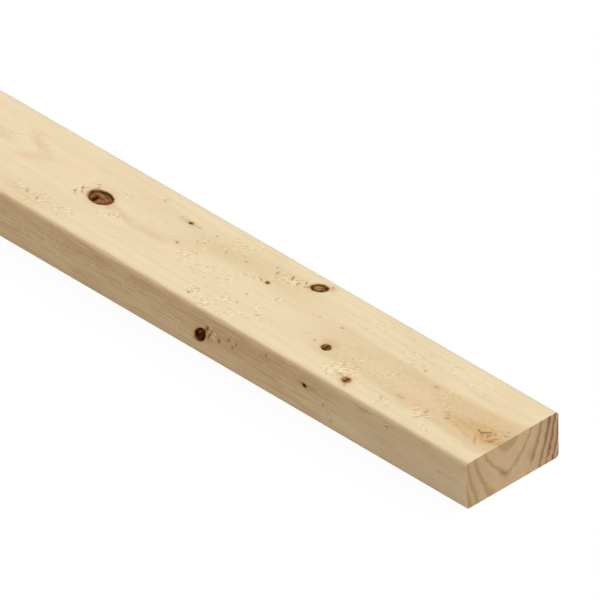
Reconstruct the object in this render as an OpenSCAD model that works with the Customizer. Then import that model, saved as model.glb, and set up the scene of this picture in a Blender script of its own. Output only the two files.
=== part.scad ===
// Planed softwood stud, lying on a wide face.
// X runs along the length, Y across the width and Z up through the thickness.
// The origin is at the middle of the bottom face.

/* [Stock] */
// Length between the two sawn ends
stock_length = 2438; // [1200:1:4877]
// Width of the wide faces, across the grain
stock_width = 89; // [64:1:286]
// Thickness between the wide faces
stock_thickness = 38; // [32:1:89]

/* [Eased edges] */
// Radius of the four rounded long edges
ease_radius = 3.2; // [0.5:0.1:8]

/* [Face knot] */
// Distance of the knot from the sawn end at +X
face_knot_from_end = 401; // [50:1:1000]
// Distance of the knot from the middle of the top face, towards +Y
face_knot_off_middle = 0.5; // [-15:0.5:15]
// Diameter of the branch that the planer cut through
face_knot_branch = 15; // [6:0.5:25]
// Lean of the branch away from upright, along the length
face_knot_lean = 43; // [0:1:55]
// How far the dried knot has sunk below the planed face
face_knot_depth = 1.2; // [0.4:0.1:3]

/* [Edge knot] */
// Distance of the knot from the sawn end at +X
edge_knot_from_end = 258.5; // [50:0.5:1000]
// Distance of the knot from the middle of the narrow face, upwards
edge_knot_off_middle = -1.5; // [-5:0.5:5]
// Diameter of the branch that the planer cut through
edge_knot_branch = 8.5; // [4:0.5:15]
// Lean of the branch away from square to the face, along the length
edge_knot_lean = 34; // [0:1:55]
// How far the dried knot has sunk below the planed face
edge_knot_depth = 1; // [0.4:0.1:3]

/* [Hidden] */
round_steps = 64;
// How far a socket's cutter stands proud of the face that it cuts
cutter_proud = 1;
pale_spruce = "#ECD9B1";

// Cross-section of the stock, with its lower left corner at the origin
module eased_section() {
    inset_w = stock_width - 2 * ease_radius;
    inset_t = stock_thickness - 2 * ease_radius;
    translate([ease_radius, 0])
        square([inset_w, stock_thickness]);
    translate([0, ease_radius])
        square([stock_width, inset_t]);
    for (across = [0, inset_w], up = [0, inset_t])
        translate([ease_radius + across, ease_radius + up])
            circle(r = ease_radius, $fn = round_steps);
}

// Straight blank with square-sawn ends
module eased_blank() {
    translate([-stock_length / 2, -stock_width / 2, 0])
        rotate([90, 0, 90])
            linear_extrude(height = stock_length)
                eased_section();
}

// Shallow socket over a leaning branch, cut down from a face at Z = 0.
// The lean stretches its mouth into an ellipse along X.
module knot_socket(branch, lean, depth) {
    reach = depth + cutter_proud;
    mouth = branch / cos(lean) + 2 * reach * tan(lean);
    stub = 2 * (reach / cos(lean) + branch * tan(lean) + branch);
    intersection() {
        rotate([0, lean, 0])
            cylinder(h = stub, d = branch, center = true, $fn = round_steps);
        translate([-mouth, -mouth, -depth])
            cube([2 * mouth, 2 * mouth, reach]);
    }
}

// Top face at +Z: the socket's face frame is the stock's own
module on_top_face(from_end, off_middle) {
    translate([stock_length / 2 - from_end, off_middle, stock_thickness])
        children();
}

// Narrow face at -Y: the socket's outward direction turns from +Z to -Y
module on_near_edge(from_end, off_middle) {
    translate([stock_length / 2 - from_end, -stock_width / 2, stock_thickness / 2 + off_middle])
        rotate([90, 0, 0])
            children();
}

module plank() {
    color(pale_spruce)
        difference() {
            eased_blank();
            on_top_face(face_knot_from_end, face_knot_off_middle)
                knot_socket(face_knot_branch, face_knot_lean, face_knot_depth);
            on_near_edge(edge_knot_from_end, edge_knot_off_middle)
                knot_socket(edge_knot_branch, edge_knot_lean, edge_knot_depth);
        }
}

plank();
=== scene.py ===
import math
from collections import namedtuple

import bmesh
import bpy
import numpy as np
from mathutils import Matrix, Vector, noise


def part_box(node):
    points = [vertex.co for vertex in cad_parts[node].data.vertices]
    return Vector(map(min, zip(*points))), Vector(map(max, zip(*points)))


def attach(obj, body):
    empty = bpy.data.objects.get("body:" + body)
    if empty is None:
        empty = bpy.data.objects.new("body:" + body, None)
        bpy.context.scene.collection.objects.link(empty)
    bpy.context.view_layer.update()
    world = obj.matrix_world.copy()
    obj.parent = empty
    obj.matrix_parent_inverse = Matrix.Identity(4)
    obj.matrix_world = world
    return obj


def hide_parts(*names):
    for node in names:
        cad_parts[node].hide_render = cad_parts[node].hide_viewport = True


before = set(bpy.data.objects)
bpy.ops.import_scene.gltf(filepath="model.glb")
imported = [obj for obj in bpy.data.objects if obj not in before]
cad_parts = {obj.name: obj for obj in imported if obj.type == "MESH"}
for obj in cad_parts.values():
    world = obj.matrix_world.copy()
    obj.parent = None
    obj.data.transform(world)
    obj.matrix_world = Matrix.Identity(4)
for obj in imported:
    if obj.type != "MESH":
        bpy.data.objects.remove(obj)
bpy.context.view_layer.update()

bl_info = {
    "name": "Planed Softwood Stud",
    "version": (1, 0, 0),
    "blender": (4, 5, 0),
    "location": "3D View > Sidebar > Timber",
    "description": "Dresses a planed softwood stud with its grain, knots and sawn ends",
    "category": "Object",
}

MM = 0.001

# The stock as it was packed, in millimetres
stock_low, stock_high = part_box("plank")
LENGTH, WIDTH, THICKNESS = (stock_high - stock_low) / MM

# Points less than SKIN below a face belong to it, and points off it count as FAR_OFF from
# whatever is on it. A share of the way to a rim counts as NO_REACH at most.
SKIN = 2.0
FAR_OFF = 99.0
NO_REACH = 9.0


def placed(kind, **rows_by_face):
    """Places of a kind from their rows, in that order."""
    return tuple(kind(face, *row) for face, rows in rows_by_face.items() for row in rows)


# Places on a long face are given by along, from the sawn end at +X, and by across, from
# the near edge on the wide faces and from the bottom on the narrow ones. On that sawn end,
# along runs from the near edge and across from the bottom. turn is in degrees from along
# towards larger across.

# Knots: sunk is in millimetres, pale runs from 0, a dead dark knot, to 1, a light brown sound
# one, soft is how blurred its rim is, and crust is how much dark bark is left inside the rim
Knot = namedtuple("Knot", "face along across half_long half_wide turn sunk pale soft crust")
SEEN_KNOTS = placed(
    Knot,
    top=(
        (400.7, 45.4, 10.3, 7.6, 0, 1.0, 0.85, 1.0, 0.35),
        (217.9, 75.8, 6.4, 4.6, -30, 0.3, 0.7, 1.0, 0.8),
        (165.1, 29.6, 3.7, 3.4, 10, 0.25, 0.5, 1.1, 0.4),
        (128.3, 12.3, 3.1, 2.9, 0, 0.25, 1.0, 1.7, 0.1),
        (334.8, 67.8, 1.5, 1.1, 0, 0.1, 0.2, 1.2, 0.5),
        (247.6, 55.2, 1.5, 1.3, 20, 0.1, 0.1, 1.1, 0.6),
    ),
    near=(
        (257.7, 16.9, 6.7, 4.5, -53, 1.0, 0.05, 1.1, 0.9),
        (156.5, 25.3, 1.9, 1.4, 15, 0.1, 0.0, 1.1, 0.9),
    ),
)
HIDDEN_KNOTS = placed(
    Knot,
    top=(
        (742, 31, 8.5, 6.5, 5, 0.4, 0.7, 1.0, 0.5),
        (905, 66, 5.0, 4.2, -20, 0.3, 0.6, 1.0, 0.7),
        (1288, 52, 11.0, 8.0, 0, 0.5, 0.6, 1.0, 0.8),
        (1342, 17, 4.0, 3.4, 0, 0.2, 0.4, 1.5, 0.3),
        (1795, 37, 7.0, 5.6, 10, 0.3, 0.7, 1.0, 0.4),
        (2190, 62, 9.0, 6.4, -10, 0.5, 0.5, 1.0, 0.8),
    ),
    near=(
        (812, 21, 5.0, 4.0, 0, 0.3, 0.4, 1.2, 0.5),
        (1310, 14, 6.0, 4.4, 15, 0.3, 0.5, 1.0, 0.7),
        (1986, 24, 4.4, 3.6, -10, 0.3, 0.2, 1.2, 0.6),
    ),
    far=(
        (236, 20, 5.6, 4.2, 20, 0.4, 0.4, 1.0, 0.6),
        (884, 16, 6.4, 4.8, -15, 0.3, 0.6, 1.0, 0.4),
        (1420, 23, 4.6, 3.8, 0, 0.3, 0.3, 1.2, 0.6),
        (2165, 18, 5.8, 4.4, 10, 0.4, 0.5, 1.0, 0.8),
    ),
    bottom=(
        (437, 46, 12.0, 8.8, 0, 0.6, 0.6, 1.0, 0.7),
        (196, 24, 6.0, 5.0, 0, 0.3, 0.5, 1.0, 0.5),
        (772, 27, 9.5, 7.2, 5, 0.4, 0.7, 1.0, 0.4),
        (1330, 55, 12.5, 9.0, 0, 0.5, 0.6, 1.0, 0.8),
        (1824, 34, 8.0, 6.2, 10, 0.3, 0.7, 1.0, 0.5),
        (2226, 65, 10.0, 7.0, -10, 0.5, 0.5, 1.0, 0.7),
    ),
)
KNOTS = SEEN_KNOTS + HIDDEN_KNOTS

# Points KNOT_REACH from a rim have no knot. The grain is drawn round a knot by GRAIN_DRAW, over
# GRAIN_LONG half lengths and GRAIN_WIDE half widths of it.
KNOT_REACH = 12.0
GRAIN_DRAW = 0.9
GRAIN_LONG = 3.0
GRAIN_WIDE = 2.4

# Streaks of honey, pink and orange wood, smudged rings, and pale places, where honey wood and
# rings fade
Patch = namedtuple("Patch", "face along across half_long half_wide turn strength")
HONEY_PATCHES = placed(
    Patch,
    top=(
        (14, 33, 30, 13, 0, 0.3), (34, 30, 24, 6, 14, 0.28), (105, 26, 46, 9, 2, 0.16),
        (100, 43, 70, 9, 0, 0.12), (103, 18, 34, 7, 0, 0.18), (165, 36, 9, 6, 0, 0.2),
        (258, 63, 70, 12, -4, 0.28), (320, 47, 30, 7, -18, 0.2), (355, 41, 34, 5, 0, 0.22),
        (425, 13, 40, 10, 0, 0.18),
    ),
    # On the near face these bands are partly real honey streaks and partly painted shade, darker
    # high up on the face
    near=((225, 24, 110, 12, 0, 0.45), (220, 27, 50, 9, 0, 0.62), (390, 23, 90, 12, 0, 0.35)),
)
PALE_PATCHES = placed(
    Patch,
    top=(
        (350, 25, 38, 16, 0, 0.2), (335, 58, 22, 8, 0, 0.12), (200, 40, 36, 16, 0, 0.15),
        (450, 74, 40, 14, 0, 0.2),
    ),
    # On the near face this paler band low down is partly a paler streak and partly painted light,
    # as light bounced from the floor would leave it
    near=((190, 7, 62, 7, 0, 0.42),),
    end=((60, 5, 8, 6, 0, 0.4), (45, 13.5, 3.5, 3, 0, 0.2)),
)
PINK_PATCHES = placed(
    Patch,
    top=(
        (388.5, 42.5, 4, 5, 0, 0.5), (401, 46, 13.5, 10.5, 0, 0.3), (397, 55.5, 8, 3, 0, 0.25),
        (210.5, 81, 4, 3.5, 0, 0.4), (125, 6, 4, 3.5, 45, 0.3), (167, 36, 7, 4, 0, 0.2),
        (468, 48, 16, 4, -25, 0.3), (474, 60, 18, 4, 25, 0.3),
    ),
    near=(
        (40, 18, 70, 18, 0, 0.16), (250.5, 18, 4.5, 5, 0, 0.4), (245, 20, 10, 9, 0, 0.25),
        (200, 24, 30, 6, 0, 0.15),
    ),
)
ORANGE_PATCHES = placed(
    Patch,
    top=((5.5, 32.5, 5, 4, 0, 0.6), (12, 29, 9, 4, 0, 0.3)),
    near=((249.5, 20, 4.5, 6, 0, 0.55),),
    end=(
        (27, 3.2, 2.5, 1.5, -30, 0.7), (37, 4, 3.5, 2, 0, 0.4), (65.5, 4.5, 2.5, 1.6, -30, 0.6),
        (76.5, 3.5, 1.6, 2, 0, 0.7),
    ),
)
SMUDGES = placed(
    Patch,
    end=((36, 12, 5, 2.6, -45, 0.35), (62.5, 14, 4.5, 7, 0, 0.3)),
)

# Places where the planer tore the grain: strength is how much of the surface is torn. Some of
# the flecks there stand out in the mesh. They lean by turn, give or take FLECK_SPREAD, and
# FLECK_COUNT is how many there are in a square centimetre that is torn all over. A fleck's half
# sizes and its shares of light and dark lie in ranges, and its chip is CHIP_ASIDE half widths off.
# The light fibre carries painted highlight and the chip the fibre's painted shadow, over real torn
# grain.
TORN_PATCHES = placed(
    Patch,
    top=(
        (140, 19, 14, 10.5, -45, 0.8), (132, 22, 7, 7, -45, 0.75), (146, 12, 6, 4, -45, 0.7),
        (137, 35, 12, 6, -45, 0.55), (233, 70, 9, 5, -45, 0.8), (243, 66, 14, 8, -45, 0.55),
        (257, 54.5, 8, 3.5, -45, 0.7), (276, 14, 9, 8, -45, 0.85), (262, 8, 7, 5, -45, 0.8),
        (255, 20, 6, 8, -45, 0.7), (228, 26, 4, 12, -60, 0.8), (228, 45, 6, 5, -45, 0.7),
        (240, 10, 14, 7, -45, 0.55), (215, 22, 4, 3, -45, 0.65), (296, 36, 14, 12, -45, 0.5),
        (275, 40, 22, 16, -45, 0.42), (310, 38, 12, 10, -45, 0.55), (312, 58, 10, 8, -45, 0.55),
        (290, 70, 24, 12, -45, 0.45), (350, 52, 6, 6, -45, 0.45), (417, 43, 6, 9, 60, 0.8),
        (412, 54, 6, 4, 60, 0.6), (410, 16, 13, 8, -45, 0.55), (430, 15, 13, 8, -45, 0.6),
        (452, 16, 9, 7, -45, 0.6), (385, 33, 8, 5, -45, 0.45), (362, 24, 6, 4, -45, 0.42),
        (64, 19, 8, 15, -60, 0.65), (66, 44, 6, 18, -60, 0.55), (95, 11, 8, 7, -60, 0.55),
        (49, 9, 3, 6, -60, 0.65), (10, 40, 12, 9, -45, 0.35), (110, 35, 22, 8, -45, 0.45),
        (115, 68, 14, 6, -30, 0.5), (90, 71, 42, 7, -30, 0.42), (60, 72, 16, 5, -30, 0.5),
        (24, 12, 8, 5, -45, 0.45), (185, 38, 8, 5, -45, 0.45), (196, 50, 20, 6, -45, 0.42),
        (160, 70, 34, 8, -20, 0.38), (490, 62, 22, 9, -45, 0.42), (750, 36, 50, 26, -45, 0.42),
        (1300, 48, 60, 26, -45, 0.42), (2190, 56, 50, 22, -45, 0.42),
    ),
    near=(
        (246, 23, 10, 6, 80, 0.8), (228, 25, 7, 4, 80, 0.55), (190, 26, 22, 7, 0, 0.4),
        (272, 11, 14, 7, 0, 0.42), (300, 20, 30, 12, 0, 0.36), (335, 24, 30, 10, 0, 0.4),
        (398, 21, 20, 8, 0, 0.5), (432, 18, 20, 8, 0, 0.5), (365, 25, 26, 8, 0, 0.4),
        (15, 22, 10, 6, 0, 0.5), (78, 30, 14, 4, 0, 0.45), (138, 18, 8, 6, 0, 0.5),
        (1310, 18, 40, 12, 0, 0.45),
    ),
    far=((236, 19, 26, 12, 0, 0.5),),
    bottom=((440, 44, 50, 28, -45, 0.42), (1330, 50, 60, 26, -45, 0.42)),
)
# The flecks are drawn in the order of the rows, so these two by the large knot stay last
TORN_PATCHES += placed(
    Patch,
    top=((379, 37.8, 5.5, 4.5, -45, 0.95), (389, 59, 9, 5, 20, 0.5)),
)
FLECK_COUNT = 5
FLECK_SPREAD = 45
FLECK_SEED = 11
FLECK_LONG = (0.5, 1.6)
FLECK_WIDE = (0.4, 0.7)
FLECK_SHARES = (0.1, 1.0)
FLECK_REACH = 6.0
CHIP_ASIDE = 1.6
SQUARE_CENTIMETRE = 100.0
Fleck = namedtuple("Fleck", "face along across half_long half_wide turn light dark")

# Lines through a few places: width is in millimetres and share is how dark a line is.
# Splits and chipped-out streaks run in the clear wood, crevices in the knots, and figure is
# the soft edges of the honey wood.
Line = namedtuple("Line", "face width share spots")
SPLITS = placed(
    Line,
    top=(
        (0.65, 1.0, ((19.8, 33.6), (17.5, 36.0), (15.0, 38.2))),
        (0.8, 0.6, ((20.2, 33.8), (21.8, 34.0), (23.6, 34.8))),
        (1.3, 0.3, ((16.0, 31.0), (19.0, 33.6))),
        (0.8, 0.6, ((13.2, 33.0), (14.4, 34.6), (13.2, 36.0))),
        (1.2, 0.6, ((8.9, 29.9), (7.2, 31.6))), (0.6, 0.45, ((8.6, 33.2), (5.0, 36.8))),
        (0.8, 0.35, ((11.2, 28.4), (10.6, 29.6))),
        (0.9, 0.4, ((0.8, 31.8), (1.4, 34.0), (1.2, 36.8))),
        (0.7, 0.5, ((2.2, 39.8), (4.9, 42.4))), (0.8, 0.5, ((6.2, 46.6), (6.6, 47.2))),
        (0.6, 0.45, ((14.0, 21.4), (16.6, 23.5))), (0.8, 0.5, ((16.6, 23.5), (18.8, 26.6))),
        (0.8, 0.25, ((12.0, 39.4), (10.5, 38.0))), (0.7, 0.25, ((11.0, 44.2), (10.3, 45.6))),
        (0.9, 0.6, ((47.4, 29.4), (48.6, 28.6))), (0.8, 0.45, ((63.5, 23.5), (64.5, 26))),
        (0.6, 0.3, ((95, 11), (96.5, 13.5), (97.5, 16))), (1.4, 0.3, ((78, 50), (80, 49.5))),
        (1.4, 0.25, ((86, 24.5), (91, 24.2))), (0.8, 0.6, ((97.3, 58), (98, 58))),
        (0.8, 0.55, ((173, 53.5), (174, 53.5))), (0.8, 0.65, ((176.4, 30), (177, 30))),
        (1.0, 0.6, ((325.2, 44.3), (326, 45.5))), (0.7, 0.6, ((223.5, 72), (226.2, 69.4))),
        (1.3, 0.22, ((326, 68), (335, 67.8), (345, 68.3))),
        (0.9, 0.6, ((414.5, 41), (415.5, 42.2))), (0.9, 0.6, ((417.2, 43.4), (418.3, 46))),
        (0.8, 0.4, ((418, 37), (420, 40))), (0.8, 0.5, ((410.3, 50.5), (410, 54))),
        (0.9, 0.55, ((227.5, 72.5), (229, 74))), (0.7, 0.6, ((231.5, 67.5), (232.4, 70.2))),
        (0.8, 0.6, ((238, 69.5), (240, 73))), (1.0, 0.5, ((250.5, 67), (251.2, 69))),
        (0.8, 0.5, ((252.5, 54), (254.5, 55.5))), (0.8, 0.4, ((255, 72), (255.6, 73))),
        (0.8, 0.4, ((293, 60), (293.6, 61))), (0.8, 0.4, ((275.3, 62), (275.8, 62.8))),
        (0.8, 0.5, ((277.6, 8.3), (278.8, 9.5))), (0.8, 0.4, ((247.8, 35.3), (248.4, 36))),
        (0.8, 0.4, ((246, 23.5), (246.6, 24.3))), (0.8, 0.45, ((366, 73.5), (367, 75))),
        (0.8, 0.4, ((310.6, 69), (311.4, 69.6))), (0.8, 0.5, ((431, 13), (432, 15.5))),
        (0.7, 0.5, ((441.5, 14.5), (443.5, 17))), (1.2, 0.35, ((131.8, 13.6), (136.5, 14.3))),
        (0.9, 0.3, ((126.5, 8.5), (124.5, 6.5))), (0.9, 0.4, ((210.5, 81.5), (212, 83))),
    ),
    near=(
        (0.9, 0.95, ((249.5, 27), (250.6, 25))), (0.9, 0.95, ((239, 22), (239.6, 19.6))),
        (0.8, 0.8, ((246.2, 25.5), (246.8, 23.8))), (0.9, 0.95, ((248, 21.5), (249.6, 18.8))),
        (1.4, 0.9, ((250, 26.5), (252.5, 22.5), (255, 19.5))),
        (1.2, 0.25, ((262, 13), (264.5, 11))), (0.9, 0.9, ((229.5, 26.5), (230.5, 25))),
        (0.8, 0.8, ((226, 22), (226.8, 21))), (0.7, 0.75, ((222.6, 26), (223, 25.4))),
        (1.0, 0.35, ((193, 33), (194, 31.5))), (1.2, 0.3, ((146, 26.4), (157, 25.6), (162, 26))),
        (1.0, 0.35, ((76, 30.6), (79, 30.2))), (0.8, 0.4, ((138, 18.8), (139, 17.2))),
        (0.9, 0.35, ((130.5, 8.5), (131.5, 7.8))), (0.9, 0.25, ((26, 18.8), (28, 18.2))),
        (1.4, 0.2, ((96, 34), (103, 32.6))),
    ),
)
CREVICES = placed(
    Line,
    top=(
        (1.8, 1.4, ((403.8, 41.6), (404.2, 44.6))),
        # These two run round the big knot's far side and its side away from the sawn end: partly a
        # real gap round the knot, partly the painted shadow of its far wall
        (0.7, 0.8, ((391.8, 49), (393.5, 51.2), (398, 52.6), (405, 51.7))),
        (0.7, 0.6, ((405, 51.7), (409.4, 48.5), (409.8, 45), (408.5, 42.2), (405, 39.5))),
        (3.2, 0.4, ((398, 41), (393.5, 45.5))), (0.7, 0.5, ((402.6, 44.8), (399.8, 46.9))),
        (0.8, 1.5, ((165.4, 26), (165.5, 32.7))),
        (0.8, 1.0, ((129.2, 9.7), (128.4, 12.3), (128.2, 14.2))),
        (0.6, 1.0, ((127.3, 9.8), (127.1, 10.4))),
    ),
    near=((0.9, 0.7, ((255.8, 19.2), (259.8, 13.7))), (0.9, 1.3, ((156, 25.4), (157.1, 25.2)))),
)
FIGURE = placed(
    Line,
    top=(
        (1.4, 0.3, ((20, 23.2), (33, 26.5), (45, 29.5), (55, 35))),
        (1.0, 0.15, ((55, 35), (60, 42), (63, 50))),
        (2.6, 0.25, ((333, 39.5), (350, 38.5), (362, 36.5), (372, 40.5), (384, 44.5))),
        (1.2, 0.2, ((28, 66), (45, 63.8), (60, 64.5))),
        (1.0, 0.15, ((0, 69), (28, 68.5), (50, 67.5))),
        (0.8, 0.2, ((122, 64.5), (160, 64.2), (178, 64.8))),
        (0.8, 0.15, ((182, 65.5), (206, 65.2))), (2.0, 0.15, ((78, 17), (100, 16.6), (125, 18.5))),
    ),
    near=(
        (0.9, 0.35, ((55, 34), (80, 33.4), (110, 34.2))),
        (0.8, 0.3, ((180, 18.8), (205, 18.4), (238, 18.6))),
        (0.7, 0.3, ((185, 16.6), (215, 16.2), (232, 16.4))),
        (0.7, 0.3, ((176, 13.6), (200, 13.2), (240, 13.0))),
        (0.8, 0.3, ((303, 29.2), (325, 28.4), (365, 29.4))),
        (0.9, 0.35, ((440, 26.5), (452, 23.6))),
    ),
)

# Growth rings: the outer radius of each, from the pith, which runs just above the top face.
# RING_SHAPE gives, by radius, how much longer a ring is through the thickness and the power of
# its outline, 2 for a round one and less for a pointed one. RING_ROUNDS is how often a point's
# radius is worked out again with that. NEAR_SHARE and FAR_SHARE make the rings wider on the far
# side, RING_FUZZ frays them, and RING_SPAN is the largest radius that is drawn.
RING_RADII = (10.8, 24.6, 33.0, 40.3, 44.4, 48.0, 52.0)
RING_SPAN = 60.0
RING_SHAPE = (
    (10.0, 1.0, 2.0),
    (18.0, 1.15, 1.4),
    (24.5, 1.2, 1.3),
    (33.0, 2.1, 1.3),
    (40.0, 2.5, 1.3),
    (44.0, 2.9, 1.3),
    (48.0, 4.5, 1.3),
)
NEAR_SHARE = 1.03
FAR_SHARE = 0.96
RING_ROUNDS = 8
RING_FUZZ = 1.2

# Latewood: how dark the core is, and the band at a ring's outer edge, as shares of its width, up
# to LATE_WIDEST, and how dark it is there
CORE_DARK = 0.8
LATE_WIDEST = 7.0
LATE_BAND = ((-0.46, 0.0), (-0.2, 0.9), (-0.06, 0.9), (0.08, 0.0))

# Torn grain in the material: how its fibres lie, in degrees, their size, and where the chips are.
# The chips also paint the lifted fibres' shadows.
TORN_LEAN = 55
TORN_CELL = (3.5, 1.6, 1.6)
CHIP_PLACE = (0.5, 0.9, 0.9)

# The saw cut at +X leans back at the top and at the near edge, by that much, within SAW_DEPTH
SAW_LEAN = 0.5
SAW_SKEW = 0.35
SAW_DEPTH = 12.0

# Where the photograph was taken from: turn and height in degrees, half its angle of view, and
# the middle of its frame as it looks from the sawn end's near bottom corner
CAMERA_TURN = 45.1033
CAMERA_HEIGHT = 35.3479
CAMERA_HALF_ANGLE = 0.61
CAMERA_DISTANCE = 19158.7
MIDDLE_LEFT_OF_CORNER = 113.356
MIDDLE_ABOVE_CORNER = 143.078

# The floor lies a little lower than the stud, and shines where it is seen
FLOOR_DROP = 0.2
FLOOR_GLOW = 0.95

# Mesh: steps in a rounded edge, how near the end sawn faces are, how far round knots, flecks and
# splits its cells are halved, and the angle in degrees from which edges are sharp
ARC_STEPS = 6
END_SKIN = 0.1
FINE_MARGINS = (2.0, 0.9)
SEEN_MARGIN = 0.4
SHARP_ANGLE = 35

# Texture sheet: its side and the gap between the strips laid out on it, in pixels, and the pixels
# to a millimetre on the detailed length's hidden faces
SHEET = 1024
SHEET_GAP = 8
HIDDEN_SCALE = 1.3

# A colour Mix node's sockets: the colour under, the one laid over it, and what they make
UNDER, OVER, BLEND = 6, 7, 2


def linear(hex_colour):
    """Linear RGBA of an sRGB hex colour."""
    parts = [int(hex_colour[i : i + 2], 16) / 255 for i in (1, 3, 5)]
    return (*(c / 12.92 if c <= 0.04045 else ((c + 0.055) / 1.055) ** 2.4 for c in parts), 1.0)


def colour(name, hex_colour, words):
    """A colour property with that default."""
    default = linear(hex_colour)
    return bpy.props.FloatVectorProperty(
        name=name, description=words, subtype="COLOR", size=4, min=0, max=1, default=default
    )


def length(name, millimetres, words):
    """A length property with that default."""
    return bpy.props.FloatProperty(
        name=name, description=words, default=millimetres * MM, min=0, unit="LENGTH", precision=4
    )


def strength(name, default, words):
    """A light's strength with that default."""
    return bpy.props.FloatProperty(name=name, description=words, default=default, min=0)


class StudSizes(bpy.types.PropertyGroup):
    """Sizes of the stud's surface detail"""

    ease_radius: length("Eased edge", 3.2, "Radius of the four long edges")
    arris: length("Sawn arris", 0.15, "Width of the broken edge round each sawn end")
    seen_length: length("Detailed length", 560, "Length from the sawn end that gets the fine mesh")
    seen_cell: length("Fine cell", 5, "Mesh cell on the detailed length, before it is refined")
    plain_cell: length("Plain cell", 12, "Mesh cell on the rest of the length")
    tear_depth: length("Tear depth", 0.15, "Depth of the chips in torn grain")
    split_depth: length("Split depth", 0.4, "Depth of splits in the grain")


class SpruceColours(bpy.types.PropertyGroup):
    """Colours of the wood"""

    pale: colour("Pale wood", "#EEDCB6", "Earlywood on the planed wide faces")
    rosy: colour("Rosy wood", "#F4D8B5", "Warm clouds in the pale wood")
    sallow: colour("Sallow wood", "#EBDCAF", "Yellowish clouds in the pale wood")
    # Honey wood also paints shade, high on the narrow faces and in bands on the near face
    honey_and_shade: colour("Honey wood", "#D3AF7E", "Darker streaks and the wood round the pith")
    pink: colour("Pink wood", "#DCA484", "Flushed wood beside knots")
    # Edge wood is partly the narrow faces' own edge-grain tone and partly painted shade: the warmer
    # look of a dimmer-lit face
    edge: colour("Edge wood", "#EFCFA2", "Wood of the narrow faces")
    # A greyer, slightly darker colour for the far rounded edges
    far_edge_grey: colour("Grey far edge", "#D8CFB8", "Greyed wood on the far rounded edges")
    latewood: colour("Latewood", "#BE9660", "Late growth where a ring meets a long face")
    orange: colour("Resin", "#D2A064", "Resin-stained wood by the sawn end")
    split: colour("Split", "#844F0C", "Inside of splits and chips")
    knot: colour("Knot", "#AE7D4E", "Sound wood in a knot")
    bark: colour("Knot bark", "#3C2608", "Dark bark round and in a flush knot")
    pitch: colour("Knot pitch", "#401803", "Dark pitch round and in a sunken knot")
    # Torn fibre also paints the highlight on raised fibres, and it colours the pale hairs too
    fleck: colour("Torn fibre", "#FFECC4", "Raised fibres in torn grain")
    end_pale: colour("End grain", "#D3B68C", "Earlywood on the sawn ends")
    end_dark: colour("End rings", "#A07C4E", "Latewood on the sawn ends")
    end_red: colour("End rings, far side", "#7C4422", "Denser latewood on the far side")


class StageSettings(bpy.types.PropertyGroup):
    """The floor and the light"""

    floor_size: length("Floor size", 16000, "Side of the square floor")
    floor: colour("Floor", "#A9A9A7", "Colour that the matt floor sends back to the stud")
    shade: colour("Shade", "#454545", "Colour of the matt floor where it is seen, under its glow")
    key: strength("Key", 3.45, "Strength of the overhead light")
    front: strength("Front", 1.4, "Strength of the low light in front")
    fill: strength("Fill", 0.05, "Strength of the light from all round")


def smooth(low, high, values):
    """0 at low, 1 at high and a smooth step between. low may be the larger."""
    t = np.clip((values - low) / (high - low), 0, 1)
    return t * t * (3 - 2 * t)


def waves(points, size, seed):
    """Noise, about -0.7 to 0.7, with features of that size in millimetres along X, Y and Z."""
    shift = np.array((17.3, 5.1, 9.7)) * seed
    return np.array([noise.noise(spot) for spot in points / np.array(size) + shift])


def on_face(face, points):
    """(along, across, depth) of points on a face. depth is how far they are below it."""
    x, y, z = points.T
    from_end, from_near = LENGTH / 2 - x, y + WIDTH / 2
    return {
        "top": (from_end, from_near, THICKNESS - z),
        "bottom": (from_end, from_near, z),
        "near": (from_end, z, from_near),
        "far": (from_end, z, WIDTH - from_near),
        "end": (from_near, z, from_end),
    }[face]


def from_middle(spot, points):
    """(p, q, d) of points seen from a knot or patch: along it, across it, and their share of
    the way to its rim. Points off its face get FAR_OFF."""
    along, across, depth = on_face(spot.face, points)
    turn = math.radians(spot.turn)
    da, db = along - spot.along, across - spot.across
    p = da * math.cos(turn) + db * math.sin(turn)
    q = db * math.cos(turn) - da * math.sin(turn)
    d = np.hypot(p / spot.half_long, q / spot.half_wide)
    return p, q, np.where(depth < SKIN, d, FAR_OFF)


def from_line(line, points):
    """Distance of points from a line. Points off its face get FAR_OFF."""
    along, across, depth = on_face(line.face, points)
    here = np.stack((along, across), axis=1)
    nearest = np.full(len(points), FAR_OFF)
    for a, b in zip(line.spots, line.spots[1:]):
        start, way = np.array(a), np.subtract(b, a)
        share = np.clip((here - start) @ way / (way @ way), 0, 1)
        nearest = np.minimum(nearest, np.linalg.norm(here - start - share[:, None] * way, axis=1))
    return np.where(depth < SKIN, nearest, FAR_OFF)


def steps(low, high, size):
    """Evenly spread values from low to high, about size apart."""
    return np.linspace(low, high, round((high - low) / size) + 1)


def corner(y, z, radius, start):
    """Inner points of a quarter turn about (y, z), clockwise from the start angle."""
    angles = start - np.linspace(0, math.pi / 2, ARC_STEPS + 1)[1:-1]
    return [(y + radius * math.cos(a), z + radius * math.sin(a)) for a in angles]


def section(radius, inset, across, up):
    """The stock's outline as (y, z) points: along the top from the near side, then round by
    the far side. across and up are the flat faces' points. The outline shrinks by inset."""
    half, quarter = WIDTH / 2, math.pi / 2
    bend = radius - inset
    points = [(y, THICKNESS - inset) for y in across]
    points += corner(half - radius, THICKNESS - radius, bend, quarter)
    points += [(half - inset, z) for z in up[::-1]]
    points += corner(half - radius, radius, bend, 0)
    points += [(y, inset) for y in across[::-1]]
    points += corner(radius - half, radius, bend, -quarter)
    points += [(inset - half, z) for z in up]
    points += corner(radius - half, THICKNESS - radius, bend, -2 * quarter)
    return points


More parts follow.
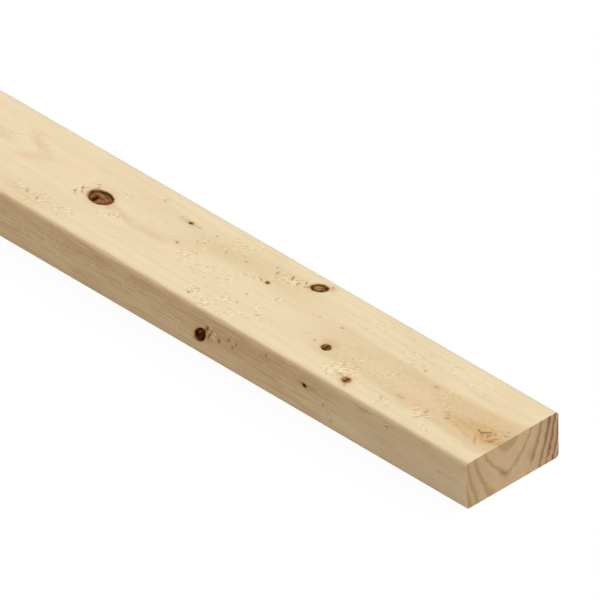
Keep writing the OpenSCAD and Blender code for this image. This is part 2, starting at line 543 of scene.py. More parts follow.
def stud_mesh(sizes):
    """The stock in millimetres: rows of its section, with a gridded cap on each sawn end."""
    radius, arris = sizes.ease_radius / MM, sizes.arris / MM
    seen, cell = sizes.seen_length / MM, sizes.seen_cell / MM
    across = steps(radius - WIDTH / 2, WIDTH / 2 - radius, cell)
    up = steps(radius, THICKNESS - radius, cell)
    plain_rows = steps(seen, LENGTH - arris, sizes.plain_cell / MM)
    rows = [*steps(arris, seen, cell), *plain_rows[1:]]
    full, cut = section(radius, 0, across, up), section(radius, arris, across, up)
    bm = bmesh.new()
    sections = [(0, cut), *((row, full) for row in rows), (LENGTH, cut)]
    rings = [[bm.verts.new((LENGTH / 2 - u, y, z)) for y, z in line] for u, line in sections]
    for ring, after in zip(rings, rings[1:]):
        for j, vert in enumerate(ring):
            bm.faces.new((ring[j - 1], vert, after[j], after[j - 1]))
    cap_end(bm, rings[0], LENGTH / 2, across, up)
    cap_end(bm, rings[-1], -LENGTH / 2, across, up)
    return bm


def cap_end(bm, ring, x, across, up):
    """Closes a sawn end with a grid of quads, and with fans in its rounded corners."""
    wide, high = len(across), len(up)
    far = wide + ARC_STEPS - 1
    bottom = far + high + ARC_STEPS - 1
    near = bottom + wide + ARC_STEPS - 1
    grid = [[bm.verts.new((x, y, z)) for y in across] for z in up]
    lines = [ring[bottom : bottom + wide][::-1], *grid, ring[:wide]]
    near_line = ring[near : near + high]
    far_line = ring[far : far + high][::-1]
    loops = []
    for low, upper in zip(lines, lines[1:]):
        loops += [(low[i], low[i + 1], upper[i + 1], upper[i]) for i in range(wide - 1)]
    for k in range(high - 1):
        loops.append((near_line[k], grid[k][0], grid[k + 1][0], near_line[k + 1]))
        loops.append((grid[k][-1], far_line[k], far_line[k + 1], grid[k + 1][-1]))
    fans = (
        (grid[-1][-1], ring[wide - 1 : far + 1]),
        (grid[0][-1], ring[far + high - 1 : bottom + 1]),
        (grid[0][0], ring[bottom + wide - 1 : near + 1]),
        (grid[-1][0], [*ring[near + high - 1 :], ring[0]]),
    )
    for middle, rim in fans:
        loops += [(middle, b, a) for a, b in zip(rim, rim[1:])]
    for loop in loops:
        face = bm.faces.new(loop if x > 0 else loop[::-1])
        face.material_index = 1


def refine(bm, wanted):
    """Halves the cells of the faces whose centres wanted picks."""
    bm.faces.ensure_lookup_table()
    centres = np.array([face.calc_center_median() for face in bm.faces])
    edges = {edge for i in np.flatnonzero(wanted(centres)) for edge in bm.faces[i].edges}
    bmesh.ops.subdivide_edges(bm, edges=list(edges), cuts=1, use_grid_fill=True)


def around(spots, lines, margin):
    """A test for points within a margin in millimetres of any of the spots and lines."""

    def wanted(points):
        reach = np.full(len(points), FAR_OFF)
        for spot in spots:
            d = from_middle(spot, points)[2]
            reach = np.minimum(reach, (d - 1) * min(spot.half_long, spot.half_wide))
        for line in lines:
            reach = np.minimum(reach, from_line(line, points) - line.width)
        return reach < margin

    return wanted


def refine_detail(bm, seen, flecks):
    """Finer cells on the detailed length and the end, then on knots, flecks and splits."""

    def shown(points):
        outer = (points[:, 2] > THICKNESS - SKIN) | (points[:, 1] < SKIN - WIDTH / 2)
        return (LENGTH / 2 - points[:, 0] < seen) & outer

    def sawn_end(points):
        return LENGTH / 2 - points[:, 0] < END_SKIN

    refine(bm, sawn_end)
    refine(bm, sawn_end)
    refine(bm, shown)
    for margin in FINE_MARGINS:
        refine(bm, around((*KNOTS, *flecks), SPLITS, margin))
    refine(bm, around(SEEN_KNOTS, SPLITS, SEEN_MARGIN))


def strew_flecks():
    """Flecks over the torn patches: each a raised light fibre with a chip beside it. The chip also
    holds the fibre's painted shadow.
    """
    random = np.random.default_rng(FLECK_SEED)
    flecks = []
    for patch in TORN_PATCHES:
        area = math.pi * patch.half_long * patch.half_wide / SQUARE_CENTIMETRE
        for _ in range(round(FLECK_COUNT * patch.strength**2 * area)):
            way, reach = random.uniform(0, 2 * math.pi), math.sqrt(random.uniform())
            along = patch.along + patch.half_long * reach * math.cos(way)
            across = patch.across + patch.half_wide * reach * math.sin(way)
            half_long, half_wide = random.uniform(*FLECK_LONG), random.uniform(*FLECK_WIDE)
            turn = patch.turn + random.uniform(-FLECK_SPREAD, FLECK_SPREAD)
            light, dark = random.uniform(*FLECK_SHARES, 2)
            flecks.append(Fleck(patch.face, along, across, half_long, half_wide, turn, light, dark))
    return flecks


def pith(along):
    """(across, up) of the pith: it grazes the top face by the sawn end and wanders above it."""
    start_across, start_above = 33.5, 2
    bend = 6 * np.exp(-along / 6)
    drift = 0.038 * np.minimum(along, 600)
    sway = 5 * np.sin(np.maximum(along - 600, 0) / 310)
    climb = 12 * (1 - np.exp(-along / 36)) * (1 - 0.45 * smooth(400, 560, along))
    heave = 4 * np.sin(np.maximum(along - 560, 0) / 260)
    return start_across + bend + drift + sway, THICKNESS + start_above + (climb + heave)


def ring_radius(points, bent):
    """Radius of the growth at each point. bent is the points drawn in towards the knots, so
    that the rings part round them."""
    along = LENGTH / 2 - points[:, 0]
    across, up = pith(along)
    aside = bent[:, 1] + WIDTH / 2 - across
    sideways = np.where(aside > 0, FAR_SHARE * aside, -NEAR_SHARE * aside)
    below = np.abs(up - bent[:, 2])
    radii, stretches, powers = zip(*RING_SHAPE)
    radius = np.hypot(sideways, below)
    for _ in range(RING_ROUNDS):
        squeezed = below / np.interp(radius, radii, stretches)
        power = np.interp(radius, radii, powers)
        radius += (sideways**power + squeezed**power) ** (1 / power)
        radius /= 2
    slow = 1.1 * waves(points, (150, 26, 26), 2)
    quick = 0.9 * waves(points, (45, 8, 8), 3)
    return radius + slow + quick


def knot_fields(points, ragged):
    """The nearest knot at each point: the distance from its rim, negative inside, the share of
    the way out to it, and how sunk, pale and crusted it is. Then the points drawn in towards
    the knots."""
    bent = points.copy()
    rim, share = np.full((2, len(points)), KNOT_REACH)
    kind = np.zeros((3, len(points)))
    for knot in KNOTS:
        p, q, d = from_middle(knot, points)
        out = d * (1 + 0.09 * ragged)
        away = (out - 1) * min(knot.half_long, knot.half_wide) / knot.soft
        nearer = away < rim
        rim[nearer] = away[nearer]
        share[nearer] = out[nearer]
        kind[:, nearer] = np.array((knot.sunk, knot.pale, knot.crust))[:, None]
        axis = 1 if knot.face in ("top", "bottom") else 2
        reach = np.hypot(p / (GRAIN_LONG * knot.half_long), q / (GRAIN_WIDE * knot.half_wide))
        bent[:, axis] -= np.where(d < FAR_OFF, GRAIN_DRAW * q * np.exp(-(reach**2)), 0)
    return rim, share, kind, bent


def patch_field(points, patches):
    """Strength of the strongest patch at each point."""
    field = np.zeros(len(points))
    for patch in patches:
        d = np.minimum(from_middle(patch, points)[2], NO_REACH)
        field = np.maximum(field, patch.strength * np.exp(-(d**3)))
    return field


def line_field(points, lines, ragged):
    """How dark the lines are at each point."""
    field = np.zeros(len(points))
    for line in lines:
        off = from_line(line, points) * (1 + 0.6 * ragged) / line.width
        off = np.minimum(off, NO_REACH)
        field = np.maximum(field, line.share * (1 + 0.5 * ragged) * np.exp(-(off**2)))
    return field


def fleck_fields(points, flecks, ragged):
    """Raised fibres of the flecks at each point, and the chips that they left. The fibres carry
    painted highlight and the chips the fibres' painted shadow.
    """
    lift, chip_and_shadow = np.zeros((2, len(points)))
    for fleck in flecks:
        p, q, d = from_middle(fleck, points)
        near = d < FLECK_REACH
        p, q = p[near] / fleck.half_long, q[near] / fleck.half_wide
        frayed = 1 + ragged[near]
        fibre = fleck.light * np.exp(-frayed * (p**2 + q**2))
        chip = fleck.dark * np.exp(-frayed * (p**2 + (q + CHIP_ASIDE) ** 2))
        lift[near] = np.maximum(lift[near], fibre)
        chip_and_shadow[near] = np.maximum(chip_and_shadow[near], chip)
    return lift, chip_and_shadow


def surface_fields(points, ease, flecks):
    """The wood's make-up at each point, by name: what carves the mesh and the material reads. Some
    of it is painted shade and highlight.
    """
    ragged = waves(points, (2.4, 2.4, 2.4), 1)
    rim, share, (sunk, pale, crust), bent = knot_fields(points, ragged)
    ring = ring_radius(points, bent)
    lift, chip_and_shadow = fleck_fields(points, flecks, ragged)
    clear = smooth(-0.2, 0.4, rim)
    along = LENGTH / 2 - points[:, 0]
    core, first_ring = RING_RADII[:2]
    heart = smooth(first_ring, first_ring - 3, ring) * smooth(250, 130, along)
    pithy = smooth(core + 1, core - 1, ring) * smooth(3, 12, along)
    side = np.abs(points[:, 1]) - WIDTH / 2 + ease
    near_side = np.clip((side + 1) / (ease + 1), 0, 1)
    # edge tints the narrow faces: partly their own edge-grain tone, partly painted shade for their
    # dimmer, warmer look
    edge = np.where(points[:, 1] < 0, near_side, smooth(0.7 * ease, ease, side))
    # The far rounded edges turn greyer and a little darker
    far_edge_grey = np.where(points[:, 1] > 0, smooth(-0.6, 1.0, side), 0)
    # upper is painted shade: the narrow faces are darker high up and lighter low down, as light
    # bounced from the floor would leave them
    upper = edge * smooth(0.4 * THICKNESS, THICKNESS, points[:, 2])
    edge *= 0.4 + 0.6 * smooth(80, 170, along)
    upper *= 0.7 + 0.3 * smooth(80, 170, along)
    honey_and_shade = 0.42 * heart + 0.2 * pithy + 0.45 * upper + patch_field(points, HONEY_PATCHES)
    faded = patch_field(points, PALE_PATCHES)
    honey_and_shade += line_field(points, FIGURE, ragged) - faded
    return {
        "ring": ring,
        "knot_rim": rim,
        "knot_share": share,
        "knot_sunk": sunk,
        "knot_pale": pale,
        "knot_crust": crust,
        "knot_crack": line_field(points, CREVICES, ragged),
        "honey_and_shade": honey_and_shade * (1 + 0.3 * ragged) + 0.2 * waves(points, (60, 22, 22), 4),
        "pink": patch_field(points, PINK_PATCHES),
        "orange": patch_field(points, ORANGE_PATCHES) * (1 + 0.6 * ragged),
        "smudge": patch_field(points, SMUDGES) * (1 + 0.6 * ragged) - faded,
        "torn": clear * patch_field(points, TORN_PATCHES),
        "split": line_field(points, SPLITS, ragged),
        "chip_and_shadow": clear * chip_and_shadow,
        "lift": clear * lift,
        "edge": edge,
        "far_edge_grey": far_edge_grey,
    }


def carve(points, fields, tear_depth, split_depth):
    """Moves points in from their long face: sunken knots with a gap round the rim and crevices,
    chips and splits. Torn fibres stand a little proud. The sawn end is cut askew."""
    rim, sunk = fields["knot_rim"], fields["knot_sunk"]
    inside = smooth(0.2, -0.7, rim)
    rough = waves(points, (1.5, 1.5, 1.5), 7)
    depth = inside * (sunk + np.minimum(sunk, 0.3) * rough)
    depth += np.minimum(sunk, 0.3) * np.exp(-(((rim + 0.4) / 0.35) ** 2))
    depth += sunk * fields["knot_crack"] * inside
    depth += tear_depth * (fields["chip_and_shadow"] - 0.5 * fields["lift"])
    depth += split_depth * fields["split"]
    along, from_near, below_top = on_face("top", points)
    cut = SAW_LEAN * (1 - below_top / THICKNESS) + SAW_SKEW * (1 - from_near / WIDTH)
    points[:, 0] -= smooth(SAW_DEPTH, 0, along) * cut
    for face, axis, sign in (("top", 2, -1), ("bottom", 2, 1), ("near", 1, 1), ("far", 1, -1)):
        below = on_face(face, points)[2]
        points[:, axis] += sign * smooth(1.5, 0.2, below) * depth


def girth(points, radius):
    """Distance of points round the section: up the near face from its foot, along the top,
    down the far face and back under the bottom."""
    y, z = points[:, 1], points[:, 2]
    half, low, high = WIDTH / 2 - radius, radius, THICKNESS - radius
    inner_y, inner_z = np.clip(y, -half, half), np.clip(z, low, high)
    turn = np.mod(math.pi - np.arctan2(z - inner_z, y - inner_y), 2 * math.pi)
    quarter = math.pi / 2 + 1e-6
    tall, wide = high - low, 2 * half
    flat = np.select(
        [turn <= 0, turn <= quarter, turn <= 2 * quarter, turn <= 3 * quarter],
        [
            inner_z - low,
            tall + inner_y + half,
            tall + wide + high - inner_z,
            2 * tall + wide + half - inner_y,
        ],
        2 * (tall + wide),
    )
    return flat + radius * turn


def unwrap(mesh, points, radius, seen):
    """Texture places: strips of the long faces, the detailed ones largest, with the two sawn
    ends beside the last strip."""
    corners = np.empty(len(mesh.loops), np.int32)
    counts = np.empty(len(mesh.polygons), np.int32)
    slots = np.empty(len(mesh.polygons), np.int32)
    mesh.loops.foreach_get("vertex_index", corners)
    mesh.polygons.foreach_get("loop_total", counts)
    mesh.polygons.foreach_get("material_index", slots)
    owner = np.repeat(np.arange(len(counts)), counts)
    spots = points[corners]
    middles = np.stack([np.bincount(owner, axis) / counts for axis in spots.T], axis=1)
    whole = 2 * (WIDTH + THICKNESS - 4 * radius) + 2 * math.pi * radius
    here, middle = girth(spots, radius), girth(middles, radius)[owner]
    here += whole * np.round((middle - here) / whole)
    along, along_middle = LENGTH / 2 - spots[:, 0], LENGTH / 2 - middles[owner, 0]
    half_way = (seen + LENGTH) / 2
    sawn, detailed, upper = slots[owner] == 1, along_middle < seen, middle < whole / 2
    room = SHEET - 2 * SHEET_GAP
    fine, plain = room / seen, room / (LENGTH - half_way)
    strips = (
        (detailed & upper, 0, 0, fine, whole / 2),
        (~detailed & (along_middle < half_way), seen, 0, plain, whole),
        (along_middle >= half_way, half_way, 0, plain, whole),
        (detailed & ~upper, 0, whole / 2, HIDDEN_SCALE, whole / 2),
    )
    across_sheet, up_sheet = np.zeros((2, len(corners)))
    floor = SHEET_GAP
    for mask, first, foot, scale, tall in strips:
        across_sheet[mask] = SHEET_GAP + (along[mask] - first) * scale
        up_sheet[mask] = floor + (here[mask] - foot) * scale
        last_strip_foot = floor
        floor += tall * scale + SHEET_GAP
    beside = 2 * SHEET_GAP + seen * HIDDEN_SCALE
    for end, lift in ((spots[:, 0] > 0, 0), (spots[:, 0] < 0, THICKNESS * fine + SHEET_GAP)):
        mask = sawn & end
        across_sheet[mask] = beside + (spots[mask, 1] + WIDTH / 2) * fine
        up_sheet[mask] = last_strip_foot + lift + spots[mask, 2] * fine
    layer = mesh.uv_layers.new(name="OFBake")
    places = np.stack((across_sheet, up_sheet), axis=1) / SHEET
    layer.data.foreach_set("uv", places.astype(np.float32).ravel())


def node(tree, kind, inputs=(), output=0, stops=(), **settings):
    """Adds a shader node and returns one of its outputs. inputs gives a value or a socket to
    link by input, and stops a ramp's (place, grey) pairs."""
    made = tree.nodes.new("ShaderNode" + kind)
    for name, value in settings.items():
        setattr(made, name, value)
    for key, value in dict(inputs).items():
        if isinstance(value, bpy.types.NodeSocket):
            tree.links.new(value, made.inputs[key])
        else:
            made.inputs[key].default_value = value
    for i, (place, grey) in enumerate(stops):
        ramp = made.color_ramp.elements
        stop = ramp[i] if i < len(ramp) else ramp.new(1.0)
        stop.position = place
        stop.color = (grey, grey, grey, 1.0)
    return made.outputs[output] if made.outputs else None


def ring_stops():
    """Latewood by share of RING_SPAN: a dark core, then a band at the outer edge of each ring."""
    core = RING_RADII[0] / RING_SPAN
    stops = [(0.0, CORE_DARK), (0.88 * core, CORE_DARK), (1.05 * core, 0.0)]
    for inner, outer in zip(RING_RADII, RING_RADII[1:]):
        wide = min(outer - inner, LATE_WIDEST)
        stops += [((outer + share * wide) / RING_SPAN, dark) for share, dark in LATE_BAND]
    return stops


def new_material(name):
    """An empty node material and its tree."""
    material = bpy.data.materials.new(name)
    material.use_nodes = True
    material.node_tree.nodes.clear()
    return material, material.node_tree


def growth(tree):
    """What both wood materials start from: millimetres, the ring radius and the latewood."""
    place = node(tree, "TexCoord", output="Object")
    mm = node(tree, "VectorMath", {0: place, "Scale": 1 / MM}, operation="SCALE")
    ring = node(tree, "Attribute", output="Fac", attribute_name="ring")
    fuzz = node(tree, "TexNoise", {"Vector": mm, "Scale": 1 / 3, "Detail": 2.0})
    frayed = node(tree, "Math", {0: fuzz, 1: RING_FUZZ, 2: ring}, operation="MULTIPLY_ADD")
    core = RING_FUZZ / 2
    span = {"Value": frayed, "From Min": core, "From Max": core + RING_SPAN}
    late = node(tree, "ValToRGB", {"Fac": node(tree, "MapRange", span)}, stops=ring_stops())
    return mm, ring, late


def along_grain(tree, mm, ring, long, wide):
    """Noise drawn out along the grain: long along the length and wide across the rings."""
    x = node(tree, "SeparateXYZ", {0: mm}, "X")
    z = node(tree, "SeparateXYZ", {0: mm}, "Z")
    grain = node(tree, "CombineXYZ", {"X": x, "Y": ring, "Z": z})
    scale = (1 / long, 1 / wide, 1 / (4 * wide))
    stretched = node(tree, "VectorMath", {0: grain, 1: scale}, operation="MULTIPLY")
    return node(tree, "TexNoise", {"Vector": stretched, "Scale": 1.0, "Detail": 2.0})


def torn_grain(tree, mm, torn):
    """Shares of lifted light fibres and of the dark chips beside them, more where more is torn. The
    light fibres carry painted highlight and the dark chips painted shadow.
    """
    shares = []
    lean = (0.0, 0.0, math.radians(TORN_LEAN))
    for aside in ((0.0, 0.0, 0.0), CHIP_PLACE):
        spot = {"Vector": mm, "Location": aside, "Rotation": lean, "Scale": TORN_CELL}
        place = node(tree, "Mapping", spot, vector_type="TEXTURE")
        grit = node(tree, "TexNoise", {"Vector": place, "Scale": 1.0, "Detail": 1.0})
        ripped = node(tree, "Math", {0: torn, 1: 0.36, 2: grit}, operation="MULTIPLY_ADD")
        shares.append(node(tree, "MapRange", {"Value": ripped, "From Min": 0.77, "From Max": 0.85}))
    return shares


def knot_wood(tree, colours, mm):
    """Colour inside a knot: mottled brown, dark where bark is left by the rim and in crevices."""
    names = ("knot_share", "knot_pale", "knot_crust", "knot_crack", "knot_sunk")
    share, pale, crust, crack, sunk = (
        node(tree, "Attribute", output="Fac", attribute_name=name) for name in names
    )
    speckle = {"Vector": mm, "Scale": 1 / 3, "Detail": 3.0, "Roughness": 0.6}
    mottle = node(tree, "TexNoise", speckle)
    tone = node(tree, "Math", {0: pale, 1: 0.25, 2: mottle}, operation="MULTIPLY_ADD")
    brown = node(tree, "MapRange", {"Value": tone, "From Min": 0.46, "From Max": 0.8})
    patchy = node(tree, "TexNoise", {"Vector": mm, "Scale": 1 / 7, "Detail": 1.0})
    kept = {"Value": patchy, "From Min": 0.35, "From Max": 0.55, "To Min": 0.4}
    by_rim = {"Value": share, "From Min": 0.45, "From Max": 0.7, "To Max": crust}
    left, band = node(tree, "MapRange", kept), node(tree, "MapRange", by_rim)
    shell = node(tree, "Math", {0: band, 1: left}, operation="MULTIPLY")
    bark = {"Factor": sunk, UNDER: colours.bark, OVER: colours.pitch}
    dark = wood = node(tree, "Mix", bark, BLEND, data_type="RGBA")
    for cover, shade in ((brown, colours.knot), (shell, dark), (crack, dark)):
        layer = {"Factor": cover, UNDER: wood, OVER: shade}
        wood = node(tree, "Mix", layer, BLEND, data_type="RGBA")
    return wood


def planed_shares(tree, mm, ring, late):
    """Shares of the shades in planed wood, by name, and its relief. Noise and rims are spread from
    low to high, and narrow faces show more lines and fibres."""
    names = ("edge", "far_edge_grey", "honey_and_shade", "pink", "orange", "torn", "lift", "chip_and_shadow", "split", "knot_rim")
    shares = {name: node(tree, "Attribute", output="Fac", attribute_name=name) for name in names}
    edge, rim = shares["edge"], shares["knot_rim"]
    lifted, chipped = torn_grain(tree, mm, shares["torn"])
    streak, line, fibre = (
        along_grain(tree, mm, ring, long, wide) for long, wide in ((240, 7), (90, 1.8), (30, 0.9))
    )
    drift = node(tree, "VectorMath", {0: mm, 1: (1 / 34, 1 / 15, 1 / 15)}, operation="MULTIPLY")
    billows = {"Vector": drift, "Scale": 1.0, "Detail": 5.0, "Roughness": 0.6}
    cloud = node(tree, "TexNoise", billows)
    brushed = node(tree, "VectorMath", {0: mm, 1: (1 / 22, 1 / 0.9, 1 / 0.9)}, operation="MULTIPLY")
    hair = node(tree, "TexNoise", {"Vector": brushed, "Scale": 1.0, "Detail": 2.0})
    darker, thread, glint = (
        node(tree, "Math", {0: edge, 1: more, 2: least}, operation="MULTIPLY_ADD")
        for more, least in ((0.21, 0.05), (0.45, 0.09), (0.3, 0.1))
    )
    spreads = {
        "rosy": (cloud, 0.5, 0.7, 0.6),
        "sallow": (cloud, 0.5, 0.3, 0.3),
        "streaks": (streak, 0.5, 0.8, 0.13),
        "lines": (line, 0.52, 0.8, darker),
        "fibres": (fibre, 0.5, 0.85, 0.12),
        "dark hair": (hair, 0.52, 0.75, thread),
        "pale hair": (hair, 0.45, 0.25, glint),
        "halo": (rim, 3.0, 0.0, 0.35),
        "stain": (rim, 1.0, 0.2, 0.75),
        "knots": (rim, 0.3, -0.3, 1.0),
    }
    for name, (source, low, high, most) in spreads.items():
        spread = {"Value": source, "From Min": low, "From Max": high, "To Max": most}
        shares[name] = node(tree, "MapRange", spread)
    # flecks carry painted highlight on the raised fibres, and chips carry the fibres' painted
    # shadow as well as the chips
    flecks = node(tree, "Math", {0: lifted, 1: shares["lift"]}, operation="MAXIMUM")
    chips = node(tree, "Math", {0: chipped, 1: shares["chip_and_shadow"]}, operation="MAXIMUM")
    dimmed = {"rings": (late, 0.06), "chips": (chips, 0.5), "flecks": (flecks, 0.65)}
    for name, (source, most) in dimmed.items():
        shares[name] = node(tree, "Math", {0: source, 1: most}, operation="MULTIPLY")
    raised = node(tree, "Math", {0: fibre, 1: lifted}, operation="ADD")
    shares["relief"] = node(tree, "Math", {0: raised, 1: chipped}, operation="SUBTRACT")
    return shares


def planed_spruce(colours):
    """Planed spruce: matt, pale and nearly even, with soft clouds, hair-fine fibres, dark dry
    knots, and flecks where the planer lifted the grain, which carry painted highlights and
    shadows. The narrow faces carry some painted shade too."""
    material, tree = new_material("planed spruce")
    mm, ring, late = growth(tree)
    shares = planed_shares(tree, mm, ring, late)
    layers = (
        ("rosy", colours.rosy),
        ("sallow", colours.sallow),
        ("edge", colours.edge),
        ("far_edge_grey", colours.far_edge_grey),
        # The honey share holds painted shade high on the narrow faces as well as honey wood
        ("honey_and_shade", colours.honey_and_shade),
        ("streaks", colours.honey_and_shade),
        ("rings", colours.latewood),
        ("lines", colours.latewood),
        ("fibres", colours.latewood),
        ("dark hair", colours.latewood),
        ("pale hair", colours.fleck),
        ("pink", colours.pink),
        ("orange", colours.orange),
        # chips paint the raised fibres' shadows and flecks their highlights, over the real torn
        # grain
        ("chips", colours.latewood),
        ("flecks", colours.fleck),
        ("halo", colours.honey_and_shade),
        ("split", colours.split),
        ("stain", colours.knot),
        ("knots", knot_wood(tree, colours, mm)),
    )
    wood = colours.pale
    for name, shade in layers:
        layer = {"Factor": shares[name], UNDER: wood, OVER: shade}
        wood = node(tree, "Mix", layer, BLEND, data_type="RGBA")
    dry_knots = {"Value": shares["knots"], "To Min": 0.1, "To Max": 0.0}
    relief = {"Strength": 0.5, "Distance": 0.15 * MM, "Height": shares["relief"]}
    surface = {
        "Base Color": wood,
        "Roughness": 0.7,
        "IOR": 1.5,
        "Specular IOR Level": node(tree, "MapRange", dry_knots),
        "Normal": node(tree, "Bump", relief),
    }
    node(tree, "OutputMaterial", {"Surface": node(tree, "BsdfPrincipled", surface)})
    return material


def sawn_spruce(colours):
    """Sawn spruce end grain: darker and rougher than a planed face, with the growth rings cut
    across. On the far side the latewood is denser and redder."""
    material, tree = new_material("sawn spruce end grain")
    mm, _, late = growth(tree)
    y = node(tree, "SeparateXYZ", {0: mm}, "Y")
    far = node(tree, "MapRange", {"Value": y, "From Min": 18.0, "From Max": 36.0})
    orange = node(tree, "Attribute", output="Fac", attribute_name="orange")
    smudge = node(tree, "Attribute", output="Fac", attribute_name="smudge")
    denser = {"Factor": far, UNDER: colours.end_dark, OVER: colours.end_red}
    dark = node(tree, "Mix", denser, BLEND, data_type="RGBA")
    deep = node(tree, "Math", {0: far, 1: 0.3, 2: 0.55}, operation="MULTIPLY_ADD")
    share = node(tree, "Math", {0: late, 1: deep, 2: smudge}, operation="MULTIPLY_ADD")
    # The end grain turns darker towards its near and far sides
    near = {"Value": y, "From Min": -15.0, "From Max": -44.0, "To Max": 0.22}
    sides = node(tree, "MapRange", near)
    side_darkening = node(tree, "Math", {0: far, 1: 0.25, 2: sides}, operation="MULTIPLY_ADD")
    pores = node(tree, "TexNoise", {"Vector": mm, "Scale": 1 / 1.4, "Detail": 3.0})
    speckle = {"Value": pores, "From Min": 0.5, "From Max": 0.9, "To Max": 0.5}
    speck = node(tree, "MapRange", speckle)
    wood = colours.end_pale
    for cover, shade in ((side_darkening, dark), (share, dark), (speck, dark), (orange, colours.orange)):
        layer = {"Factor": cover, UNDER: wood, OVER: shade}
        wood = node(tree, "Mix", layer, BLEND, data_type="RGBA")
    relief = {"Strength": 0.5, "Distance": 0.3 * MM, "Height": pores}
    surface = {
        "Base Color": wood,
        "Roughness": 0.8,
        "IOR": 1.5,
        "Specular IOR Level": 0.2,
        "Normal": node(tree, "Bump", relief),
    }
    node(tree, "OutputMaterial", {"Surface": node(tree, "BsdfPrincipled", surface)})
    return material


class TIMBER_OT_dress_stud(bpy.types.Operator):
    """Carve the planed stud with its knots and torn grain, and give it its wood"""

    bl_idname = "timber.dress_stud"
    bl_label = "Dress Stud"

    def execute(self, context):
        sizes = context.scene.stud_sizes
        radius, seen = sizes.ease_radius / MM, sizes.seen_length / MM
        flecks = strew_flecks()
        bm = stud_mesh(sizes)
        refine_detail(bm, seen, flecks)
        mesh = bpy.data.meshes.new("stud")
        bm.to_mesh(mesh)
        bm.free()
        places = np.empty(len(mesh.vertices) * 3, np.float32)
        mesh.vertices.foreach_get("co", places)
        points = places.reshape(-1, 3).astype(float)
        unwrap(mesh, points, radius, seen)
        fields = surface_fields(points, radius, flecks)
        carve(points, fields, sizes.tear_depth / MM, sizes.split_depth / MM)
        mesh.vertices.foreach_set("co", (points * MM).astype(np.float32).ravel())
        for name, values in fields.items():
            layer = mesh.attributes.new(name, "FLOAT", "POINT")
            layer.data.foreach_set("value", values.astype(np.float32))
        mesh.shade_smooth()
        mesh.set_sharp_from_angle(angle=math.radians(SHARP_ANGLE))
        colours = context.scene.spruce_colours
        mesh.materials.append(planed_spruce(colours))
        mesh.materials.append(sawn_spruce(colours))
        mesh.update()
        stud = bpy.data.objects.new("stud", mesh)
        context.scene.collection.objects.link(stud)
        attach(stud, "root")
        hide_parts("plank")
        return {"FINISHED"}


class TIMBER_OT_set_stage(bpy.types.Operator):
    """Lay the floor, set the light and stand the camera where the photograph was taken"""

    bl_idname = "timber.set_stage"
    bl_label = "Set Stage"

    def execute(self, context):
        settings = context.scene.stage_settings
        lay_floor(context.scene, settings)
        set_light(context.scene, settings)
        stand_camera(context.scene)
        context.scene.view_settings.view_transform = "Standard"
        return {"FINISHED"}


def seen_directly(tree):
    """1 for a ray that shows a surface to the eye, also by gloss or glass, 0 for bounced light."""
    shown = node(tree, "LightPath", output="Is Camera Ray")
    for way in ("Is Glossy Ray", "Is Transmission Ray"):
        ray = node(tree, "LightPath", output=way)
        shown = node(tree, "Math", {0: shown, 1: ray}, operation="MAXIMUM")
    return shown


def lay_floor(scene, settings):
    """A matt pale floor that looks white where nothing shades it."""
    half = settings.floor_size / 2
    mesh = bpy.data.meshes.new("floor")
    corners = [(-half, -half, 0), (half, -half, 0), (half, half, 0), (-half, half, 0)]
    mesh.from_pydata(corners, [], [(0, 1, 2, 3)])
    material, tree = new_material("matt white floor")
    shown = seen_directly(tree)
    tints = {"Factor": shown, UNDER: settings.floor, OVER: settings.shade}
    matt = node(tree, "BsdfDiffuse", {"Color": node(tree, "Mix", tints, BLEND, data_type="RGBA")})
    glow = node(tree, "Math", {0: shown, 1: FLOOR_GLOW}, operation="MULTIPLY")
    light = node(tree, "Emission", {"Strength": glow})
    node(tree, "OutputMaterial", {"Surface": node(tree, "AddShader", {0: matt, 1: light})})
    mesh.materials.append(material)
    floor = bpy.data.objects.new("floor", mesh)
    floor.location.z = -FLOOR_DROP * MM
    scene.collection.objects.link(floor)


def hang_softbox(scene, name, way, power, spread):
    """A soft light that shines from a direction. spread is its width in degrees."""
    lamp = bpy.data.lights.new(name, "SUN")
    lamp.energy = power
    lamp.angle = math.radians(spread)
    softbox = bpy.data.objects.new(name, lamp)
    softbox.rotation_euler = Vector(way).to_track_quat("Z", "Y").to_euler()
    scene.collection.objects.link(softbox)


def set_light(scene, settings):
    """A wide softbox overhead, from behind the stud and towards its sawn end, a weaker one low
    in front, and a little light from all round."""
    hang_softbox(scene, "overhead softbox", (0.4, 0.8, 1.0), settings.key, spread=90)
    hang_softbox(scene, "front softbox", (0.4, -1.0, 0.3), settings.front, spread=50)
    world = bpy.data.worlds.new("pale room")
    world.use_nodes = True
    tree = world.node_tree
    tree.nodes.clear()
    shown = seen_directly(tree)
    fill = node(tree, "MapRange", {"Value": shown, "To Min": settings.fill, "To Max": 1.0})
    sky = node(tree, "Background", {"Color": linear("#FFFFFF"), "Strength": fill})
    node(tree, "OutputWorld", {"Surface": sky})
    scene.world = world


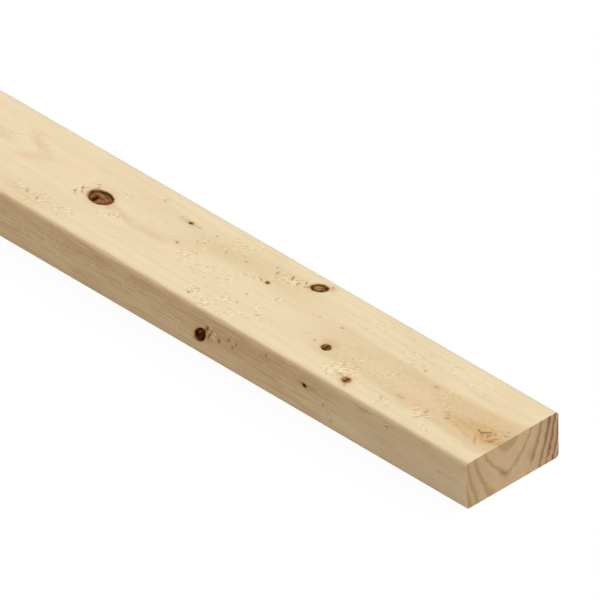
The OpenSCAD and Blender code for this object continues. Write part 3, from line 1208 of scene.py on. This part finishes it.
def stand_camera(scene):
    """A very long lens, because the photograph is a parallel view. It is aimed from the sawn
    end's near bottom corner."""
    turn, height = math.radians(CAMERA_TURN), math.radians(CAMERA_HEIGHT)
    right = Vector((math.cos(turn), math.sin(turn), 0))
    level = math.cos(height)
    back = Vector((math.sin(turn) * level, -math.cos(turn) * level, math.sin(height)))
    above = back.cross(right)
    aim = Vector((stock_high.x, stock_low.y, stock_low.z))
    aim += (above * MIDDLE_ABOVE_CORNER - right * MIDDLE_LEFT_OF_CORNER) * MM
    lens = bpy.data.cameras.new("long lens")
    lens.lens = lens.sensor_width / 2 / math.tan(math.radians(CAMERA_HALF_ANGLE))
    camera = bpy.data.objects.new("long lens", lens)
    camera.location = aim + back * CAMERA_DISTANCE * MM
    camera.rotation_euler = back.to_track_quat("Z", "Y").to_euler()
    scene.collection.objects.link(camera)
    scene.camera = camera


class TIMBER_PT_stud(bpy.types.Panel):
    """Settings of the stud and its stage"""

    bl_label = "Softwood Stud"
    bl_space_type = "VIEW_3D"
    bl_region_type = "UI"
    bl_category = "Timber"

    def draw(self, context):
        scene = context.scene
        for group in (scene.stud_sizes, scene.spruce_colours, scene.stage_settings):
            box = self.layout.box()
            for name in group.__annotations__:
                box.prop(group, name)
        self.layout.operator(TIMBER_OT_dress_stud.bl_idname)
        self.layout.operator(TIMBER_OT_set_stage.bl_idname)


CLASSES = (
    StudSizes,
    SpruceColours,
    StageSettings,
    TIMBER_OT_dress_stud,
    TIMBER_OT_set_stage,
    TIMBER_PT_stud,
)


def register():
    for kind in CLASSES:
        bpy.utils.register_class(kind)
    bpy.types.Scene.stud_sizes = bpy.props.PointerProperty(type=StudSizes)
    bpy.types.Scene.spruce_colours = bpy.props.PointerProperty(type=SpruceColours)
    bpy.types.Scene.stage_settings = bpy.props.PointerProperty(type=StageSettings)


def unregister():
    del bpy.types.Scene.stage_settings
    del bpy.types.Scene.spruce_colours
    del bpy.types.Scene.stud_sizes
    for kind in reversed(CLASSES):
        bpy.utils.unregister_class(kind)


def main():
    register()
    bpy.ops.timber.dress_stud()
    bpy.ops.timber.set_stage()


if __name__ == "__main__":
    main()
